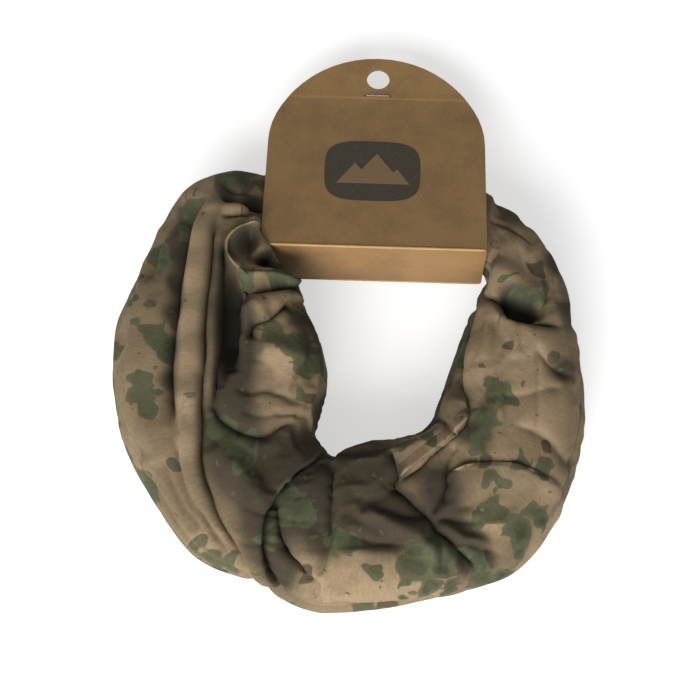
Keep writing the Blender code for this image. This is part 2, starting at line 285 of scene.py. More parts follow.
# Fold strokes in plan (mm): kind, points, height, and width on the left and on
# the right of the stroke.  A ridge swells, a pleat is a flat band with steep
# sides, a hollow is a pit with steep sides, a crease is a sharp valley
# whose sides lean together, and a lip is the edge of an upper layer, which lies
# to the left of its stroke and overhangs what lies to the right.  Creases,
# hollows and lips also darken the cloth's colour along them with painted shade.
STROKES = [
    # the long pleats down the left side
    ("pleat", [(-47.4, 68), (-49.8, 60), (-51.4, 46), (-52.4, 30), (-52.9, 12), (-52.9, -6), (-52.2, -26),
               (-49.4, -40), (-44, -53)], 5.2, 4.2, 3.5),
    ("crease", [(-50, 66), (-55, 54), (-58.8, 38), (-60.2, 14), (-60.2, -6), (-58, -22)], 9.0, 2.4, 3.8),
    ("crease", [(-45.8, 60), (-47.8, 42), (-48.6, 20), (-48.6, 0), (-48.4, -22), (-46.4, -38), (-40, -53),
                (-32.6, -66), (-27, -74)], 9.0, 1.2, 1.2),
    ("pleat", [(-44.6, 54), (-45.4, 40), (-45.7, 20), (-45.7, 0), (-45.2, -15)], 4.6, 1.8, 1.8),
    ("crease", [(-43.2, 50), (-43.4, 28), (-43.4, 4), (-43.2, -16)], 6.0, 0.9, 1.4),
    ("ridge", [(-58, 62), (-67, 46), (-72.5, 26), (-75, 4), (-74, -16), (-70, -34)], 2.6, 4.6, 4.6),
    ("crease", [(-61, 60), (-68, 46), (-71, 30)], 3.0, 2.0, 2.0),
    ("crease", [(-47, 69), (-41, 67.5), (-33, 68)], 2.6, 1.2, 1.6),
    ("crease", [(-75, 20), (-77, 2), (-75, -16), (-68, -34)], 1.8, 1.6, 2.2),
    ("crease", [(-63, -30), (-57, -44), (-48, -57)], 2.0, 1.4, 2.4),
    ("crease", [(-57, -24), (-53, -40), (-45, -54), (-38, -64)], 3.0, 1.2, 2.2),
    # the pit inside the left pleats, darkened with painted shade
    ("hollow", [(-41, 41), (-39.6, 32), (-39.4, 18), (-39.6, 4), (-41, -6)], 12.0, 2.6, 4.0),
    ("crease", [(-37.5, 12), (-36, 5), (-37.5, -2)], 4.0, 1.4, 2.0),
    ("crease", [(-37, 33), (-35, 27), (-36.5, 21)], 4.0, 2.2, 1.4),
    # folds at the card's left side
    ("crease", [(-47, 62), (-38, 62.5), (-29, 61)], 6.0, 1.2, 1.2),
    ("ridge", [(-52, 57), (-46, 59), (-40, 59.8), (-35, 59.6)], 1.3, 1.8, 2.2),
    ("ridge", [(-29, 54), (-34, 53.2), (-38.8, 50.2), (-42.2, 45.6), (-41.6, 40), (-38, 35.4),
               (-34, 33)], 4.6, 1.3, 1.4),
    ("crease", [(-45, 56), (-37, 57.5), (-29, 57.6)], 5.0, 1.0, 1.4),
    ("hollow", [(-30, 51), (-34.4, 47.6), (-35.2, 43), (-32, 39.6)], 3.6, 4.0, 3.8),
    ("hollow", [(-36, 39.2), (-31, 40.8), (-25, 41.4), (-17, 40.4), (-10, 38)], 11.0, 3.4, 3.2),
    ("crease", [(-34.2, 50), (-35.4, 44), (-34, 39)], 2.2, 0.8, 0.8),
    ("crease", [(-31.8, 50), (-32.6, 44), (-31.8, 39)], 2.2, 0.8, 0.8),
    ("ridge", [(-36, 33.2), (-29, 34.4), (-22, 34.6), (-17, 33.6)], 4.4, 1.2, 1.2),
    ("crease", [(-38, 31), (-32, 28.6), (-25, 30.0), (-16, 31.2)], 5.0, 1.2, 1.5),
    ("pleat", [(-16, 31), (-22, 27.5), (-29, 23.5), (-34, 19)], 2.6, 2.6, 2.2),
    # the bulge on the inner left
    ("ridge", [(-38, 20), (-32, 22), (-26, 18), (-20, 24)], 3.6, 2.6, 2.8),
    ("crease", [(-19, 26), (-25, 18.5), (-30.5, 15.5), (-32, 10)], 8.0, 1.4, 1.8),
    ("ridge", [(-30, 8), (-22, 7), (-13, 3)], 3.2, 3.6, 3.6),
    ("crease", [(-45.6, -11), (-41.5, -18.5), (-34, -22.6), (-25, -22.8), (-15, -17)], 3.4, 2.6, 1.6),
    ("crease", [(-38, -6), (-32, -8.4), (-24, -8), (-15, -10)], 1.1, 3.0, 1.4),
    ("crease", [(-36, -14), (-29, -16.6), (-21, -15.5), (-13, -15)], 1.0, 2.8, 1.2),
    ("ridge", [(-44, -26), (-38, -35), (-30, -41), (-24, -42)], 2.6, 5.0, 5.0),
    # the deep diagonal fold at the bottom left, with its tongue
    ("lip", [(-19, -79), (-25.5, -68), (-27.5, -58), (-26, -49), (-20, -40), (-13, -32),
             (-6, -25)], 6.5, 7.0, 1.7),
    ("crease", [(-22, -43), (-20.6, -54), (-16, -63), (-11.5, -69)], 5.0, 1.2, 1.8),
    ("crease", [(-11, -69), (-7.5, -72), (-6, -80)], 2.4, 1.0, 1.6),
    ("ridge", [(-4, -32), (-9, -42), (-12, -54), (-11, -66)], 1.8, 4.0, 4.0),
    ("crease", [(-4, -29), (-2.4, -42), (-2.4, -54), (-5, -66), (-8.5, -71)], 3.0, 1.0, 3.0),
    # the smooth bottom right and its knot
    ("ridge", [(4, -66), (20, -70), (38, -66)], 2.0, 9.0, 9.0),
    ("crease", [(15, -38), (22, -43), (30, -50), (37, -57.5), (44, -64), (51, -69)], 5.0, 1.1, 2.0),
    ("crease", [(2, -54), (10, -58), (20, -58.5), (28, -56)], 2.2, 1.6, 2.6),
    ("crease", [(35, -56), (30, -49), (21, -42.5), (16, -40)], 3.0, 1.1, 1.5),
    ("crease", [(35, -46), (35, -38), (36.5, -30), (39, -24)], 2.8, 1.1, 2.2),
    ("ridge", [(6, -48), (18, -52), (28, -58), (36, -64)], 3.2, 3.0, 3.0),
    ("crease", [(29, -49), (24, -43), (17, -38)], 3.0, 0.8, 1.2),
    ("crease", [(31, -51), (38, -59), (48, -66)], 3.8, 0.8, 1.2),
    ("crease", [(33, -49), (39, -50.2), (46, -50)], 1.8, 0.8, 1.2),
    ("crease", [(32, -48), (33.5, -42), (37, -36)], 2.6, 0.8, 1.3),
    ("crease", [(30, -52), (33, -59), (34, -67)], 2.6, 0.8, 1.3),
    ("crease", [(28, -50), (21, -50), (12, -47)], 2.4, 0.9, 1.5),
    ("crease", [(32, -52), (42, -58), (54, -60)], 2.6, 0.8, 1.3),
    ("ridge", [(33, -50.5), (41, -55), (50, -57)], 1.8, 1.3, 1.3),
    ("ridge", [(31, -53), (35, -60), (41, -68)], 1.8, 1.2, 1.2),
    # the folded corner on the inner right
    ("lip", [(18.5, -38.5), (27, -30.5), (34, -24), (40.2, -18.4), (42, -15.2), (41, -8),
             (39.4, 2)], 5.0, 7.0, 1.4),
    ("crease", [(30, -12), (35, -17.5), (38.5, -21)], 6.0, 1.1, 1.2),
    ("crease", [(17, -27), (19, -33), (17.5, -39)], 8.0, 1.3, 1.5),
    # the arched edge across the right side
    ("lip", [(77, -38), (64, -32.5), (53, -30.5), (43, -31.5), (35, -35)], 2.2, 7.0, 1.1),
    ("crease", [(42, 24), (39.8, 6), (40.6, -10)], 6.0, 1.2, 2.2),
    # the pocket under the card's right end, darkened with painted shade
    ("hollow", [(48, 31), (53.5, 27.2), (59, 24.6), (65, 24), (72, 26)], 8.0, 4.4, 2.8),
    ("crease", [(46, 32), (52, 27), (57, 21.5), (64, 19.5), (76, 20)], 5.0, 2.6, 1.2),
    ("ridge", [(52, 22.5), (60, 20.6), (69, 22)], 2.0, 1.2, 2.4),
    ("crease", [(62, 18), (68, 26), (71, 33)], 3.0, 1.4, 2.2),
    ("ridge", [(50, 40), (59, 36), (66, 29)], 3.4, 4.2, 4.2),
    ("crease", [(49, 62), (58, 57), (67, 49)], 2.2, 1.8, 3.0),
    ("crease", [(52, 72), (60, 66), (68, 58)], 1.6, 1.6, 2.2),
    ("crease", [(53, -6), (61, -5.5), (69, -3), (76, -2)], 1.8, 1.2, 4.0),
    ("crease", [(66, 12), (72, 5), (79, 3)], 2.2, 1.2, 3.4),
    ("crease", [(58, -16), (69, -20), (80, -29)], 1.6, 1.5, 3.0),
]
# Seeded creases: seed, count, and the ranges of half length, depth and width (mm).
FINE_CREASES = (12, 130, (9, 30), (0.3, 1.0), (0.6, 1.4))
WALL_FOLDS = (14, 64, (24, 80), (1.4, 3.8), (1.5, 3.4))
DEEPEST_DRAPE = 5.5
DEEPEST_VALLEY = 15.0
HIGHEST_RIDGE = 7.0
STROKE_REACH = 24.0
STROKE_FADE = 0.16
HOLLOW_FADE = 0.36


def open_curve(path, per_span):
    """A smooth curve through an open path."""
    padded = np.vstack([2 * path[0] - path[1], path, 2 * path[-1] - path[-2]])
    points = []
    for index in range(1, len(padded) - 2):
        for t in np.arange(per_span) / per_span:
            points.append(catmull_rom(*padded[index - 1:index + 3], t))
    points.append(path[-1])
    return np.array(points)


def stroke_distance(plan, path):
    """Signed distance to a path (left positive), the share walked along it, and the way left."""
    fine = open_curve(np.asarray(path, float), 5)
    best = np.full(len(plan), 1e9)
    signed, share = np.zeros(len(plan)), np.zeros(len(plan))
    leftward = np.zeros((len(plan), 2))
    lengths, walked = walk(fine)
    for index, (start, end) in enumerate(zip(fine[:-1], fine[1:])):
        step = end - start
        offset = plan - start
        t = np.clip((offset @ step) / (step @ step), 0, 1)
        away = offset - t[:, None] * step
        distance = np.linalg.norm(away, axis=1)
        closer = distance < best
        side = np.where(step[0] * offset[:, 1] - step[1] * offset[:, 0] >= 0, 1.0, -1.0)
        best[closer] = distance[closer]
        signed[closer] = (distance * side)[closer]
        share[closer] = ((walked[index] + t * lengths[index]) / walked[-1])[closer]
        leftward[closer] = np.array([-step[1], step[0]]) / lengths[index]
    return signed, share, leftward


def stroke_profile(kind, signed, left, right):
    """Lift and leftward slide of a stroke, for each unit of its height, and the painted shade it lays on the
    cloth's colour.
    """
    reach = np.abs(signed) / np.where(signed >= 0, left, right)
    none = np.zeros_like(signed)
    if kind == "ridge":
        return np.exp(-reach ** 2), none, none
    if kind == "pleat":
        return np.exp(-reach ** 5), none, none
    if kind == "hollow":
        return -np.exp(-reach ** 4), none, np.exp(-reach ** 3)
    if kind == "crease":
        lift = -np.exp(-reach ** 1.1)
        slide = -0.16 * np.sign(signed) * reach * np.exp(1 - reach)
        return lift, slide, np.exp(-reach)
    step = smooth_ramp((signed + 0.9) / 1.8)
    lift = 0.6 * np.exp(-(signed / left) ** 2) * step - 0.9 * np.exp(-np.abs(signed) / right) * (1 - step)
    slide = -0.38 * np.exp(-((signed - 1.3) / 1.7) ** 2) + 0.18 * np.exp(-((signed + 1.4) / 1.3) ** 2)
    return lift, slide, np.exp(-np.abs(signed + 0.8) / right)


def lay_strokes(grid, normals):
    """How far every fold stroke moves the top of the ring, and the painted shade that darkens its folds."""
    plan = grid[..., 0:2]
    warped = (plan + 0.35 * seeded_warp(plan, (15, 31), (15, 32))).reshape(-1, 2)
    lift, shade = np.zeros(len(warped)), np.zeros(len(warped))
    slide = np.zeros((len(warped), 2))
    for kind, path, height, left, right in STROKES:
        low, high = np.min(path, axis=0) - STROKE_REACH, np.max(path, axis=0) + STROKE_REACH
        near = np.nonzero(np.all((warped > low) & (warped < high), axis=1))[0]
        signed, share, leftward = stroke_distance(warped[near], path)
        fade = HOLLOW_FADE if kind == "hollow" else STROKE_FADE
        ends = 0.1 + 0.9 * smooth_ramp(share / fade) * smooth_ramp((1 - share) / fade)
        narrowing = 0.4 + 0.6 * ends if kind == "hollow" else 1.0
        up, aside, dark = stroke_profile(kind, signed, left * narrowing, right * narrowing)
        beyond = smooth_ramp((STROKE_REACH - np.abs(signed)) / STROKE_REACH * 2)
        lift[near] += height * ends * up * beyond
        slide[near] += (height * ends * aside * beyond)[:, None] * leftward
        # painted shade: each stroke darkens the colour along its fold
        shade[near] = np.maximum(shade[near], ends * dark * min(height / 8, 1))
    lift = np.where(
        lift < 0,
        -DEEPEST_VALLEY * np.tanh(-lift / DEEPEST_VALLEY),
        HIGHEST_RIDGE * np.tanh(lift / HIGHEST_RIDGE),
    )
    facing_up = smooth_ramp((normals[..., 2] + 0.05) / 0.5)
    move = normals * (lift.reshape(facing_up.shape) * facing_up)[..., None]
    move[..., 0:2] += slide.reshape(plan.shape) * facing_up[..., None]
    return move, shade.reshape(facing_up.shape) * facing_up


def side_pleats(angles):
    """Pleats that run round the ring on its walls and underside."""
    turn = np.linspace(0, 2 * math.pi, AROUND, endpoint=False)[:, None]
    chance = np.random.default_rng(7)
    total = np.zeros((AROUND, ACROSS))
    for index in range(PLEATS):
        start = math.pi * (PLEATS_FROM + PLEATS_SPREAD * (index + 0.5) / PLEATS)
        drift = sum(
            chance.uniform(-0.10, 0.10) / order * np.sin(order * turn + chance.uniform(0, 6.3))
            for order in range(1, 7)
        )
        strength = 0.5 + 0.5 * np.sin(chance.integers(1, 5) * turn + chance.uniform(0, 6.3))
        away = (angles - start - drift + math.pi) % (2 * math.pi) - math.pi
        width = np.where(away > 0, *PLEAT_WIDTHS)
        total -= (0.5 + 2.0 * strength) * np.exp(-np.abs(away) / width)
    return total


def seeded_creases(places, length, seed, count, reaches, depths, widths):
    """Seeded creases that run mostly round the ring, for every side of it (mm)."""
    chance = np.random.default_rng(seed)
    total = np.zeros(places.shape[:2])
    girth = places[..., 1].max(axis=1)
    for _ in range(count):
        row = chance.integers(AROUND)
        middle = np.array([places[row, 0, 0], chance.uniform(0, girth[row])])
        reach, depth, width = chance.uniform(*reaches), chance.uniform(*depths), chance.uniform(*widths)
        slant, bow = chance.normal(0, 0.3), chance.normal(0, 0.3) / reach
        along = (places[..., 0] - middle[0] + length / 2) % length - length / 2
        over = places[..., 1] - middle[1]
        run = along * math.cos(slant) + over * math.sin(slant)
        aside = over * math.cos(slant) - along * math.sin(slant) + bow * run ** 2 / reach * 3
        window = smooth_ramp(1 - np.abs(run) / reach)
        lean = np.where(aside > 0, width, width * 2.2)
        total -= depth * window * np.exp(-np.abs(aside) / lean)
    return total


def small_wrinkles(grid, places):
    """Small creases that mostly run round the ring, and a slight unevenness (mm)."""
    flow = places * np.array([1 / 3.0, 1.0])
    flow = flow + seeded_warp(grid, (30, 41), (22, 42)) * 3.5
    folds = 1 - np.abs(seeded_waves(flow, 14, 43, 30)) * 1.8
    fine = 1 - np.abs(seeded_waves(flow, 6, 45, 30)) * 1.6
    where = smooth_ramp(0.4 + 0.7 * seeded_waves(grid, 38, 44))
    return 0.22 * folds * where + 0.08 * fine * where + 0.2 * seeded_waves(grid, 30, 46)


def relax(grid, rounds, strength):
    """Soften a closed grid a little."""
    for _ in range(rounds):
        mean = (np.roll(grid, 1, 0) + np.roll(grid, -1, 0) + np.roll(grid, 1, 1) + np.roll(grid, -1, 1)) / 4
        grid = grid + strength * (mean - grid)
    return grid


def cloth_places(grid, length):
    """Each grid point's place on the flat cloth in mm: along the ring, and across it."""
    turn = np.linspace(0, length, AROUND, endpoint=False)[:, None] * np.ones((1, ACROSS))
    steps = np.linalg.norm(np.roll(grid, -1, 1) - grid, axis=2)
    over = np.cumsum(steps, axis=1) - steps
    return np.stack([turn, over], axis=-1)


# The cloth run: it works on every third row and every second column of the
# ring, ten times life size.  The cloth starts as a wider tube than the shape
# needs and is gathered onto the shape, so that it falls into lengthwise folds.
SIM_ROWS, SIM_COLUMNS = 3, 2
SIM_SCALE = 10
SIM_GATHERED_AT = 8
SIM_FRAMES = 26
SIM_EXTRA_ROUND = 0.10
SIM_EXTRA_CLOTH = 0.015
SIM_HOLD = 0.16
SIM_FURTHEST = 5.0
SIM_EVEN_OUT = 0.75
# Places (x, y, radius in mm) where the sculpted folds stay as they are laid.
CALM_PLACES = [
    (-54, 56, 12), (-53, 38, 13), (-54, 18, 13), (-54, -2, 13), (-54, -22, 13), (-50, -38, 11), (-38, 44, 10),
    (64, 2, 15), (66, -20, 13), (20, -72, 12), (60, 40, 9),
]
CALM_STRENGTH = 0.8


# Thin knit, lightly inflated, without gravity.
CLOTH = {
    "quality": 5,
    "mass": 0.15,
    "tension_stiffness": 40,
    "compression_stiffness": 40,
    "shear_stiffness": 10,
    "bending_stiffness": 0.3,
    "tension_damping": 4,
    "compression_damping": 4,
    "shear_damping": 4,
    "bending_damping": 0.5,
    "shrink_min": -SIM_EXTRA_CLOTH,
    "shrink_max": -SIM_EXTRA_CLOTH,
    "use_pressure": True,
    "uniform_pressure_force": 0.5,
    "vertex_group_mass": "hold",
    "pin_stiffness": 1,
}


def cloth_settings(modifier):
    """Set up the cloth run's fabric; it collides with nothing."""
    for key, value in CLOTH.items():
        setattr(modifier.settings, key, value)
    modifier.settings.effector_weights.gravity = 0
    modifier.collision_settings.use_collision = False
    modifier.collision_settings.use_self_collision = False


def simulate_cloth(start, hold):
    """How far each point of a coarse closed grid moves when its cloth relaxes into folds (mm)."""
    scale = SIM_SCALE * MM
    centre = start.mean(axis=1, keepdims=True)
    loose = (1 - hold)[..., None]
    wide = centre + (start - centre) * (1 + SIM_EXTRA_ROUND * loose)
    cloth = grid_object("cloth_run", wide * scale)
    cloth.shape_key_add(name="wide")
    gathered = cloth.shape_key_add(name="gathered")
    gathered.data.foreach_set("co", (start.reshape(-1, 3) * scale).astype(np.float32).ravel())
    for step, value in ((1, 0.0), (SIM_GATHERED_AT, 1.0)):
        gathered.value = value
        gathered.keyframe_insert("value", frame=step)
    group = cloth.vertex_groups.new(name="hold")
    for index, weight in enumerate(hold.ravel()):
        group.add([index], float(weight), "REPLACE")
    modifier = cloth.modifiers.new("Cloth", "CLOTH")
    cloth_settings(modifier)
    modifier.point_cache.frame_start, modifier.point_cache.frame_end = 1, SIM_FRAMES
    for step in range(1, SIM_FRAMES + 1):
        bpy.context.scene.frame_set(step)
    moved = cloth.evaluated_get(bpy.context.evaluated_depsgraph_get()).to_mesh()
    places = np.zeros(start.size, np.float32)
    moved.vertices.foreach_get("co", places)
    settled = places.reshape(start.shape) / scale
    mesh, keys = cloth.data, cloth.data.shape_keys.animation_data.action
    bpy.data.objects.remove(cloth)
    bpy.data.meshes.remove(mesh)
    bpy.data.actions.remove(keys)
    bpy.context.scene.frame_set(1)
    return settled - start


def stretch_axis(values, factor, axis):
    """Make a closed grid smoothly finer along one axis."""
    values = np.moveaxis(values, axis, 0)
    four = [np.roll(values, shift, 0) for shift in (1, 0, -1, -2)]
    finer = np.zeros((len(values) * factor, *values.shape[1:]))
    for step in range(factor):
        finer[step::factor] = catmull_rom(*four, step / factor)
    return np.moveaxis(finer, 0, axis)


def natural_folds(grid, loose):
    """Movement of each point of the ring from the cloth run, without its overall swelling (mm)."""
    coarse = grid[::SIM_ROWS, ::SIM_COLUMNS]
    hold = 1 - (1 - SIM_HOLD) * loose[::SIM_ROWS, ::SIM_COLUMNS, 0]
    move = simulate_cloth(coarse, hold)
    move = move - SIM_EVEN_OUT * relax(move, 160, 1.0)
    distance = np.linalg.norm(move, axis=2, keepdims=True)
    move *= SIM_FURTHEST * np.tanh(distance / SIM_FURTHEST) / np.maximum(distance, 1e-6)
    calm = cloud_field(coarse[..., 0:2].reshape(-1, 2), CALM_PLACES).reshape(coarse.shape[:2])
    on_top = smooth_ramp((coarse[..., 2] - coarse[..., 2].mean()) / 10)
    move *= (1 - CALM_STRENGTH * calm * on_top)[..., None]
    return stretch_axis(stretch_axis(move, SIM_ROWS, 0), SIM_COLUMNS, 1)


def build_gaiter():
    """The gathered ring of knit, as one closed mesh."""
    grid, angles, length = ring_grid()
    normals = grid_normals(grid)
    places = cloth_places(grid, length)
    beside = smooth_ramp((np.abs(grid[..., 0] - LOOP_IN_PLAN[0]) - LOOP_HALF_WIDTH) / LOOP_SIDE_FADE)
    in_front = smooth_ramp((LOOP_FRONT - grid[..., 1]) / LOOP_FRONT_FADE)
    outside_loop = np.maximum(beside, in_front)[..., None]
    move, shade = lay_strokes(grid, normals)
    shaped = grid + move * outside_loop
    shaped = shaped + natural_folds(relax(shaped, 2, 0.5), outside_loop) * outside_loop
    off_top = 1 - smooth_ramp((normals[..., 2] - 0.1) / 0.5)
    drapes = seeded_creases(places, length, *WALL_FOLDS) * off_top
    drapes = -DEEPEST_DRAPE * np.tanh(-drapes / DEEPEST_DRAPE)
    # painted shade along the drapes on the walls and the underside
    shade = np.maximum(shade, 0.55 * smooth_ramp(-drapes / DEEPEST_DRAPE))
    offset = side_pleats(angles) + small_wrinkles(grid, places)
    offset = offset + seeded_creases(places, length, *FINE_CREASES) + drapes
    shaped = relax(shaped + normals * offset[..., None] * outside_loop, 1, 0.5)
    low_down = smooth_ramp((SETTLE_REACH - shaped[..., 2]) / SETTLE_REACH)
    shaped[..., 2] = np.maximum(shaped[..., 2] - SETTLE_DEPTH * low_down, TABLE_GAP)
    gaiter = grid_object("gaiter_fabric", shaped * MM + np.array(RING_MIDDLE))
    store_print_with_painted_shade(gaiter, grid, places, shade, normals)
    return gaiter


def grid_object(name, grid):
    """A closed mesh object from a closed grid of points."""
    rows, columns = grid.shape[:2]
    index = np.arange(rows * columns).reshape(rows, columns)
    right, up = np.roll(index, -1, 0), np.roll(index, -1, 1)
    corner = np.roll(right, -1, 1)
    faces = np.stack([index, right, corner, up], axis=-1).reshape(-1, 4)
    mesh = bpy.data.meshes.new(name)
    mesh.vertices.add(rows * columns)
    mesh.vertices.foreach_set("co", grid.reshape(-1, 3).astype(np.float32).ravel())
    mesh.loops.add(faces.size)
    mesh.loops.foreach_set("vertex_index", faces.astype(np.int32).ravel())
    mesh.polygons.add(len(faces))
    mesh.polygons.foreach_set("loop_start", np.arange(0, faces.size, 4, dtype=np.int32))
    mesh.update(calc_edges=True)
    turned = bmesh.new()
    turned.from_mesh(mesh)
    if turned.calc_volume(signed=True) < 0:
        bmesh.ops.reverse_faces(turned, faces=turned.faces)
        turned.to_mesh(mesh)
    turned.free()
    mesh.shade_smooth()
    return new_object(name, mesh)


# ------------------------------------------------------ the printed pattern

# Patches and clouds on the side that shows: centre in plan and radius (mm).  The green
# and brown patches are print; the dark and light clouds are partly print and partly
# painted shade and painted highlight.
GREEN_PATCHES = [
    (-69, 43, 4.2), (-67.5, 38, 2.6), (-70, 22, 2.2), (-69, 14, 3.6), (-67, 10, 4.4), (-65, 5, 3.2),
    (-70, -5, 3.4), (-70, -9.5, 3.8), (-67.5, -14, 2.6), (-50, -63, 4), (-44, -65, 4), (-38, -66.5, 3),
    (-40, 74, 4.6), (-31, 73, 4), (-45, 71, 3), (-25, 12, 4), (-19, 8, 5), (-13, 4, 6), (-8, 3, 4),
    (-15, -8, 2.4), (-24, 35, 4), (-34, 33, 3), (-40, -22, 5), (-33, -30, 6), (-30, -26, 4), (-18, -42, 5),
    (-22, -50, 6), (-13, -50, 5), (-24, -58, 4), (-2, -56, 4), (4, -60, 4), (22, -24, 3.4), (29, -22, 3.2),
    (61, 28, 4), (65, 30, 2.6), (69, 33, 2.4), (55, 36, 2.2), (52, -4, 5), (56, -8, 4), (48, -16, 6),
    (46, -24, 5), (60, -30, 3), (68, -32, 3.4), (50, -36, 3), (53, -38, 2.4), (52, -47, 4.6), (46, -50, 3),
    (60, -52, 5.4), (66, -46, 4), (62, -58, 3), (26, -60, 4), (24, -66, 5), (30, -70, 4), (34, -62, 5),
    (45, -63, 5), (38, -72, 3.4), (49, -66, 3), (12, -67, 2.4), (22, -74, 2.2), (30, -76, 2), (6, -82, 3),
    (14, -83, 3), (-83, 10, 2.2), (-81, 6, 1.8), (-75, 30, 1.8), (-73, 26, 1.5), (-76, 23, 1.6),
    (-57, 60, 4), (-62, 52, 3),
]
# Dark clouds: partly the print's dark clouds, and partly painted shade laid in the valleys, recesses, deep
# folds and the pocket.
DARK_PRINT_AND_PAINTED_SHADE = [
    # the valley left of the long ridge
    (-60, 58, 4.5), (-60.5, 50, 4.5), (-61.5, 42, 4.5), (-62, 32, 4.2), (-62, 20, 4.2), (-62, 8, 4.2),
    (-62.5, -4, 4),
    # the recess inside the long ridges
    (-44, 40, 5), (-43, 31, 5), (-42, 22, 5), (-36, 48, 5), (-38, 20, 6), (-38, 12, 8), (-36, 2, 6),
    (-38, -12, 8), (-38, -22, 9), (-36, -32, 9), (-13, 20, 6), (-10, 9, 6), (-20, 34, 5),
    # the bottom left and its deep fold
    (-30, -38, 9), (-24, -34, 8), (-14, -28, 7), (-25, -52, 8), (-24, -62, 7), (-20, -70, 6),
    (-10, -41, 10), (-6, -54, 8),
    # the bottom and the knot
    (8, -46, 12), (14, -52, 9), (0, -42, 9), (0, -32, 9), (8, -30, 7), (16, -36, 5), (34, -37, 6),
    (33, -50, 9), (42, -59, 7), (48, -64, 5),
    # the pocket and the right side
    (60, 27, 5), (56, 29, 4), (52, -7, 4), (46, -20, 5), (80, 26, 5), (76, 4, 4), (60, 66, 7), (74, 44, 5),
    # the top left
    (-44, 66, 4), (-34, 64.5, 3),
]
# Light clouds: partly the print's light tone, and partly painted highlight on the lit ridges and the lit
# bottom.
LIGHT_PRINT_AND_PAINTED_HIGHLIGHT = [
    (-54, 45, 4), (-54, 30, 4.5), (-54, 15, 4.5), (-54, 0, 4.5), (-54, -15, 4.5), (-52, -28, 4.5),
    (-47, -60, 6), (12, -72, 12), (-4, -73, 8), (30, -68, 8), (65, -14, 10), (63, 44, 9), (44, 4, 6),
    (-22, 2, 7), (-31, 23, 4), (-24, 30, 4), (62, 8, 8), (70, -36, 6), (70, -54, 6), (50, -50, 6),
    (-40, 58, 4), (32, -24, 6), (24, -28, 5), (-22, 38, 4),
]
BROWN_PATCHES = [
    (8.3, -49, 7.5), (17.9, -45, 8.5), (24, -50, 7), (13, -55, 5.5), (3, -44, 5), (-61, 18, 3.4),
    (-64, 4.4, 3.2), (-80.7, 8, 2), (-74.7, 22.8, 1.8), (-73.5, 32.6, 1.8), (-12.2, -9, 2.6),
    (13.1, -65.7, 2.4), (22.6, -74.3, 2), (29.8, -75.5, 1.8), (-10.7, -69.4, 2.6), (-27, -36, 5),
    (-20, -31, 4), (48, -30, 3), (72, 8, 2.4), (56, 12, 2.0), (66, 40, 3), (-64, 47, 2.6), (-57, -34, 2.6),
    (40, -64, 4), (70, -24, 2.2),
]
HIDDEN_PATCHES = 90


def patch_field(points, patches):
    """1 at the middle of the nearest patch, 0 at its edge and below 0 beyond."""
    field = np.full(len(points), -1.0)
    for x, y, radius in patches:
        distance = np.hypot(points[:, 0] - x, points[:, 1] - y)
        field = np.maximum(field, 1 - distance / radius)
    return field


def cloud_field(points, clouds):
    """A smooth field, about 1 inside the clouds and 0 away from them."""
    field = np.zeros(len(points))
    for x, y, radius in clouds:
        field += np.exp(-((points[:, 0] - x) ** 2 + (points[:, 1] - y) ** 2) / radius ** 2)
    return np.tanh(1.3 * field)


def hidden_patches(grid, normals, seed, sizes):
    """A field of seeded, ragged patches for the walls and the underside, in space."""
    chance = np.random.default_rng(seed)
    flat, up = grid.reshape(-1, 3), normals[..., 2].ravel()
    warp = seeded_warp(flat, *[(11, seed + axis) for axis in (1, 2, 3)])
    field = np.full(len(flat), -1.0)
    under = np.nonzero(up < 0.1)[0]
    for _ in range(HIDDEN_PATCHES):
        centre = flat[under[chance.integers(len(under))]]
        radius = chance.uniform(*sizes)
        field = np.maximum(field, 1 - np.linalg.norm(flat + 2.6 * warp - centre, axis=1) / radius)
    return np.where(up > 0.35, -1.0, field)


def hidden_clouds(grid, normals, seed, least):
    """A smooth seeded field of clouds for the walls and the underside, in space."""
    flat, up = grid.reshape(-1, 3), normals[..., 2].ravel()
    field = 1.1 * smooth_ramp((seeded_waves(flat, 46, seed, 30) - least) / 0.6)
    away_from_front = smooth_ramp((flat[:, 1] + 72) / 14)
    return field * (1 - smooth_ramp((up - 0.1) / 0.4)) * away_from_front


def print_and_painted_light_fields(plan):
    """Green, dark, light and brown fields at points in plan (mm): the print, with painted shade in the dark
    field and painted highlight in the light field.
    """
    warp = seeded_warp(plan, (9, 51, 40), (9, 52, 40))
    return [
        patch_field(plan + 1.4 * warp, GREEN_PATCHES),
        cloud_field(plan, DARK_PRINT_AND_PAINTED_SHADE),
        cloud_field(plan, LIGHT_PRINT_AND_PAINTED_HIGHLIGHT),
        patch_field(plan + 1.1 * warp[:, ::-1], BROWN_PATCHES),
    ]


def store_points(piece, cloth_place, green, dark, light, brown, fold):
    """Store the cloth place, the print's fields with their painted shade and highlight, and the painted shade
    of the folds on a piece's points.
    """
    values = {
        "cloth_place": cloth_place,
        "print_with_painted_light": np.column_stack([green, dark, light]),
        "brown_and_painted_fold_shade": np.column_stack([brown, fold, fold]),
    }
    for name, rows in values.items():
        attribute = piece.data.attributes.new(name, "FLOAT_VECTOR", "POINT")
        attribute.data.foreach_set("vector", np.asarray(rows, np.float32).ravel())


